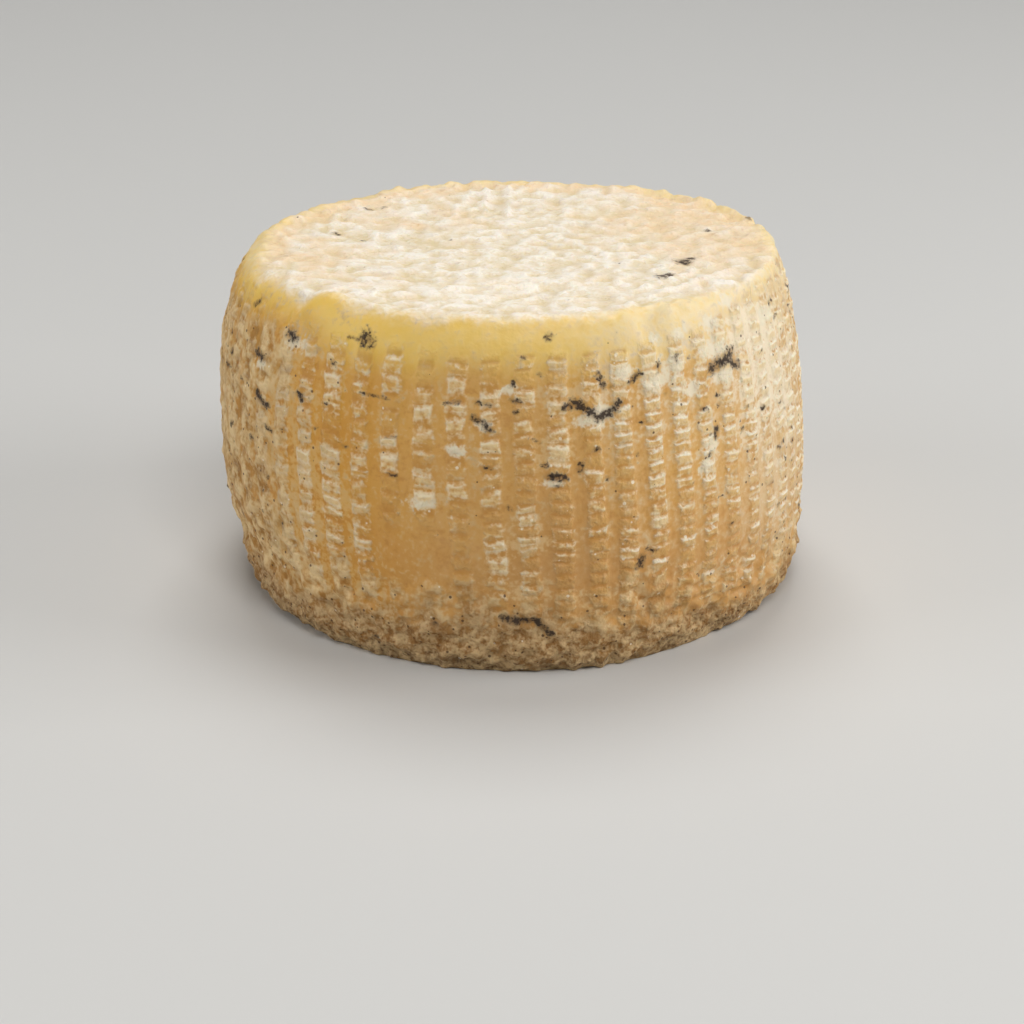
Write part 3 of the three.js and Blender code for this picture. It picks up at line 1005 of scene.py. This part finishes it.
# bright lines on the upper lips: partly bloom, partly a painted highlight
lines = in_pad * lit_upper_lip * (0.3 + 0.7 * outlines) * line_strength
spill = 0.5 * thickness + 0.5 * kept_in_mesh("overgrown")
stray = (spill + 1.3 * crumb + sand + 0.8 * patch).between(0.36, 0.92) * 0.8
trace = in_pad * (0.2 + 0.4 * film + 0.3 * outlines)
stray_tone = creaminess.most(veiling).cover(THIN_BLOOM, PALE_BLOOM)
film_tone = sandiness.cover(BLOOM, DUSTY_BLOOM)
bloomed = lay(
    curd,
    # painted shade in the gaps between pads
    ((in_ladder - in_pad).most(0.0) * 0.5, GAP_SHADE),
    (trace, THIN_BLOOM),
    (stray, stray_tone),
    (filled * 0.85, film_tone),
    (filled * pad_edge * 0.45, BRIGHT_BLOOM),
    (lines * 0.85, BRIGHT_BLOOM),
)
count_nodes("the bloom")

# %% [markdown]
# ## Sandy crust
# On the worn side the bloom and the marks were rubbed together into a sandy crust of cream and tan. Its
# colour also paints light and shade on its clumps: cream on their tops is partly a painted highlight, the
# tan between them is partly painted shade, and the brown in the pits is painted shade. Its clumps are real
# relief, so the colour reads the same clumps from the mesh, and only the finest grain is noise.

# %% Sandy crust of the worn side
SAND_CREAM = tone(240, 211, 158)
SAND_TAN = tone(154, 110, 54)
PIT_SHADE = tone(96, 64, 34)

crusted = (sandiness - 0.25 * (1 - in_ladder) + 0.9 * crumb + 0.8 * patch).between(0.1, 0.9)
crust_grain = 1.5 * (kept_in_mesh("clump") - 0.5) + 0.8 * crumb + 0.6 * sand
sandy_rind = lay(
    bloomed,
    (crusted * 0.65, SAND_TAN),
    # cream on the clump tops: partly the crust's own cream, partly a painted highlight
    (crusted * crust_grain.between(-0.42, 0.42) * 0.9, SAND_CREAM),
    # painted shade in the pits between clumps
    (crusted * (-crust_grain).between(0.15, 0.6) * 0.4, PIT_SHADE),
)
count_nodes("the crust")

# %% [markdown]
# ## Skin of the top
# The top dried into a pale skin: nearly white on its lumps, creamy yellow in the hollows, peach in a few
# places. The whiter lumps and darker hollows are partly the skin's own tone and partly painted light and
# shade on its relief. Hollows could be found by a node that measures how pointed the surface is, but that
# one works in only one renderer, so the mesh hands over the lumps that it was raised by.

# %% Skin of the top
SKIN = tone(238, 223, 196)
SHADED_SKIN_HOLLOW = tone(227, 207, 166)
LIT_SKIN_LUMP = tone(250, 241, 226)
PEACH = tone(243, 208, 160)

# whiter lumps and darker hollows: partly the skin's tone, partly painted light and shade
crest = 0.04 + 0.95 * kept_in_mesh("ridge") + 0.6 * crumb + 0.4 * sand
skin_tone = lay(
    SHADED_SKIN_HOLLOW,
    (crest.between(0.14, 0.46), SKIN),
    (crest.between(0.42, 0.72), LIT_SKIN_LUMP),
    (kept_in_mesh("peach") * (0.6 + 1.4 * crumb), PEACH),
)
skin_there = kept_in_mesh("pale")
skin_cover = (skin_there + 0.3 * crumb + 0.15 * sand).between(0.0, 1.0)
topped = skin_cover.cover(sandy_rind, skin_tone)
count_nodes("the skin")

# %% [markdown]
# ## Crumbly foot
# The foot stood damp on its shelf and grew a grey-brown crust of crumbs, with some olive. It is built like
# the sandy crust, from clods down to dust, with dirt at the very bottom. Its tones are darker than the
# crust's own colour as painted shade near the ground, and its dark pits are painted shade too.

# %% Grey crumbly foot
# foot tones are darker than the crust's own colour: painted shade near the ground
FOOT_CREAM = tone(213, 182, 134)
FOOT_TAN = tone(145, 102, 49)
FOOT_GREY = tone(128, 98, 60)
FOOT_OLIVE = tone(130, 90, 38)

crusty = kept_in_mesh("foot")
griminess = (kept_in_mesh("grime") + patch + 0.8 * crumb).between(0.2, 0.9)
foot_grain = 0.9 * clod + 1.2 * crumb + 0.8 * sand + 0.5 * dust
foot_tone_and_shade = lay(
    FOOT_TAN,
    (griminess, FOOT_GREY),
    (foot_grain.between(-0.4, 0.4) * 0.9, FOOT_CREAM),
    ((patch + 0.9 * crumb).between(0.1, 0.45) * 0.35, FOOT_OLIVE),
    # painted shade in the pits between crumbs
    ((-crumb - sand - dust).between(0.2, 0.5) * 0.5, PIT_SHADE),
)
foot_cover = (crusty + crumb + 0.5 * sand + 0.9 * patch).between(0.0, 1.0)
footed = foot_cover.cover(topped, foot_tone_and_shade)
count_nodes("the foot")

# %% [markdown]
# ## Mould and specks
# Mould shows as white fluff, a thin grey-brown halo and dark dots of spores. The soft strokes in the mesh
# say where, and fine noise breaks them into dots. Single brown specks and white crumbs come from random
# cells: each has one middle, and a chance number decides how far it reaches. The white crumbs double as
# painted glints, small painted highlights on the pads and the veil.

# %% Mould and specks
FLUFF = tone(238, 226, 198)
GREY_MOULD = tone(112, 85, 52)
MOULD = tone(50, 36, 26)
SPECK = tone(84, 56, 30)
SPECK_REACH = 0.19
WHITE_REACH = 0.24

mouldy = kept_in_mesh("mould")
growth = mouldy + 0.5 * crumb
fluffed = (kept_in_mesh("fluff") + crumb + 0.8 * sand).between(0.3, 0.9) * 0.85
grey = (growth + 0.6 * sand).between(0.15, 0.8) * 0.6
dark = (0.95 * growth + 1.3 * sand + 0.8 * dust).between(0.42, 0.92) * 0.94
crowd = 0.28 + 0.5 * sandiness + 0.4 * crusty + 0.2 * filled - 0.1 * waxiness + 0.9 * patch
crowd = crowd + 0.15 * veiling + 0.2 * mouldy.between(0.0, 0.3)
speck_reach = (crowd - speck_chance).between(0.0, 0.4) * SPECK_REACH
specks = (speck_reach - speck_away + 0.05 * sand).between(0.0, 0.06)
white_share = 0.35 * in_ladder.most(sandiness) + 0.4 * veiling
white_reach = (speck_chance + white_share - 1.0).between(0.0, 0.4) * WHITE_REACH
# white crumbs, partly painted glints
white_crumbs_and_glints = (white_reach - speck_away + 0.1 * sand).between(0.0, 0.08)
aged = lay(
    footed,
    (white_crumbs_and_glints * 0.6, BRIGHT_BLOOM),
    (fluffed, FLUFF),
    (grey, GREY_MOULD),
    (specks * 0.85, SPECK),
    (dark, MOULD),
)
count_nodes("the mould")

# %% [markdown]
# ## Sheen and grain
# The bare curd has a waxy sheen and the dry layers are dull, so one mask of all that is dry drives the
# roughness. The grain finer than the net is a bump, strongest on pads, skin and foot. A little light goes
# into the curd and comes out again nearby, redder than it went in, which keeps it from looking like stone.

# %% Sheen and grain
WAXY_ROUGHNESS = 0.42
DRY_ROUGHNESS = 0.76
LIGHT_REACH = 4 * MILLIMETRE

dry = filled.most(lines).most(crusted).most(skin_cover).most(crusty).most(dark)
ledges = in_pad * (0.25 + 0.75 * pad_part)
lumpy = (0.7 * in_pad).most(0.25 * sandiness).most(0.7 * skin_there).most(crusty)
grain_height = 0.35 * ledges + (0.15 + 0.85 * lumpy) * (0.75 * crumb + 0.4 * sand + 0.15 * dust)
bump_sockets = {"Height": grain_height, "Strength": 1.0, "Distance": MILLIMETRE}
shader = sheet.node("ShaderNodeBsdfPrincipled", None, {
    "Base Color": aged,
    "Roughness": WAXY_ROUGHNESS + (DRY_ROUGHNESS - WAXY_ROUGHNESS) * dry,
    "Specular IOR Level": 0.4,
    "Subsurface Weight": 0.12,
    "Subsurface Radius": (1.0, 0.55, 0.25),
    "Subsurface Scale": LIGHT_REACH,
    "Normal": sheet.node("ShaderNodeBump", None, bump_sockets, "Normal"),
})
sheet.node("ShaderNodeOutputMaterial", None, {"Surface": shader})
skin.materials.append(rind)
count_nodes("its shader")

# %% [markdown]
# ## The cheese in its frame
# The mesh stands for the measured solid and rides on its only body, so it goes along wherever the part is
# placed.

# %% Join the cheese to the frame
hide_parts("cheese_wheel")
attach(cheese, "root")
print(cheese.name, "stands for the wheel and rides on the root body")

# %% [markdown]
# ## Sweep
# In a studio the cheese would stand on a sheet of pale paper that curves up behind it, so no edge shows. A
# flat plane would end in a hard horizon from low angles. Turning one curved line all the way round gives
# the same paper from every side.

# %% Sweep
FLOOR_RADIUS = 2.4
SWEEP_RADIUS = 0.8
WALL_TOP = 2.6
SWEEP_SEGMENTS = 96
SWEEP_BENDS = 12
PAPER = tone(208, 207, 204)

sweep = [(0.0, 0.0), (FLOOR_RADIUS, 0.0)]
for curl in np.linspace(0, math.pi / 2, SWEEP_BENDS + 1)[1:]:
    sweep.append((FLOOR_RADIUS + SWEEP_RADIUS * math.sin(curl), SWEEP_RADIUS * (1 - math.cos(curl))))
sweep.append((FLOOR_RADIUS + SWEEP_RADIUS, WALL_TOP))
ways = np.linspace(0, 2 * math.pi, SWEEP_SEGMENTS, endpoint=False)
floor_points = [
    (reach * math.cos(way), reach * math.sin(way), rise) for (reach, rise), way in product(sweep, ways)
]
floor_faces = []
for hoop, segment in product(range(len(sweep) - 1), range(SWEEP_SEGMENTS)):
    after = (segment + 1) % SWEEP_SEGMENTS
    nearer = hoop * SWEEP_SEGMENTS
    farther = nearer + SWEEP_SEGMENTS
    corners = [nearer + segment, farther + segment, farther + after, nearer + after]
    floor_faces.append(corners[:3] if hoop == 0 else corners)
floor_mesh = bpy.data.meshes.new("sweep")
floor_mesh.from_pydata(floor_points, [], floor_faces)
floor_mesh.polygons.foreach_set("use_smooth", np.ones(len(floor_mesh.polygons), dtype=bool))
paper = bpy.data.materials.new("pale_paper")
paper.use_nodes = True
paper_shader = paper.node_tree.nodes["Principled BSDF"]
paper_shader.inputs["Base Color"].default_value = PAPER
paper_shader.inputs["Roughness"].default_value = 0.9
paper_shader.inputs["Specular IOR Level"].default_value = 0.1
floor_mesh.materials.append(paper)
floor = bpy.data.objects.new("sweep", floor_mesh)
bpy.context.collection.objects.link(floor)
print("sweep has", len(floor_mesh.polygons), "faces")

# %% [markdown]
# ## Soft light
# Small lamps would draw hard shadows behind every crumb, so all four are large soft rectangles. The one
# overhead, a little behind, makes the top the brightest part. One above the front lights the shoulder, and
# one on each side shows the relief, stronger on the right. A faint even light fills the shadows.

# %% Soft lights
LAMPS = [
    ("overhead", (0, 1.0, 2.2), (1.2, 1.2), 27.5),
    ("left_side", (-1.25, -0.3, 0.6), (0.8, 0.9), 5.4),
    ("over_front", (0.2, -0.9, 1.2), (0.6, 0.5), 7.4),
    ("right_side", (1.22, -0.15, 0.55), (0.8, 0.9), 9.0),
]
CHEESE_MIDDLE = (0, 0, 0.05)
FILL_LIGHT = 0.04

for lamp_name, lamp_place, lamp_size, watts in LAMPS:
    lamp = bpy.data.lights.new(lamp_name, "AREA")
    lamp.shape = "RECTANGLE"
    lamp.size, lamp.size_y = lamp_size
    lamp.energy = watts
    holder = bpy.data.objects.new(lamp_name, lamp)
    holder.location = lamp_place
    aim = np.array(CHEESE_MIDDLE) - np.array(lamp_place)
    tilt = math.atan2(math.hypot(aim[0], aim[1]), -aim[2])
    holder.rotation_euler = (tilt, 0, math.atan2(aim[1], aim[0]) - math.pi / 2)
    bpy.context.collection.objects.link(holder)
world = bpy.data.worlds.new("room")
world.use_nodes = True
world.node_tree.nodes["Background"].inputs["Color"].default_value = (1, 1, 1, 1)
world.node_tree.nodes["Background"].inputs["Strength"].default_value = FILL_LIGHT
bpy.context.scene.world = world
bpy.context.scene.view_settings.view_transform = "Standard"
print(len(LAMPS), "lamps give", sum(watts for *_, watts in LAMPS), "watts")

# %% [markdown]
# ## Camera
# The camera looks down on the cheese from the front, from about four and a half times its width away. A
# nearer one would make the front bulge, so a long lens brings the wheel to a little over half the picture.

# %% Camera
CAMERA_DISTANCE = 0.7589
CAMERA_HEIGHT = 0.3298
CAMERA_LEFT = 0.0004
CAMERA_PITCH = 0.3938
FOCAL_PIXELS = 2601.5
PICTURE_PIXELS = 1024
SENSOR_WIDTH = 36

lens = bpy.data.cameras.new("camera")
lens.sensor_width = SENSOR_WIDTH
lens.lens = FOCAL_PIXELS / PICTURE_PIXELS * SENSOR_WIDTH
lens.clip_start = 0.05
camera = bpy.data.objects.new("camera", lens)
camera.location = (-CAMERA_LEFT, -CAMERA_DISTANCE, CAMERA_HEIGHT)
camera.rotation_euler = (math.pi / 2 - CAMERA_PITCH, 0, 0)
bpy.context.collection.objects.link(camera)
bpy.context.scene.camera = camera
print("lens of", round(lens.lens, 1), "mm")

# %% [markdown]
# The dressed cheese must stay as large as the measured solid.
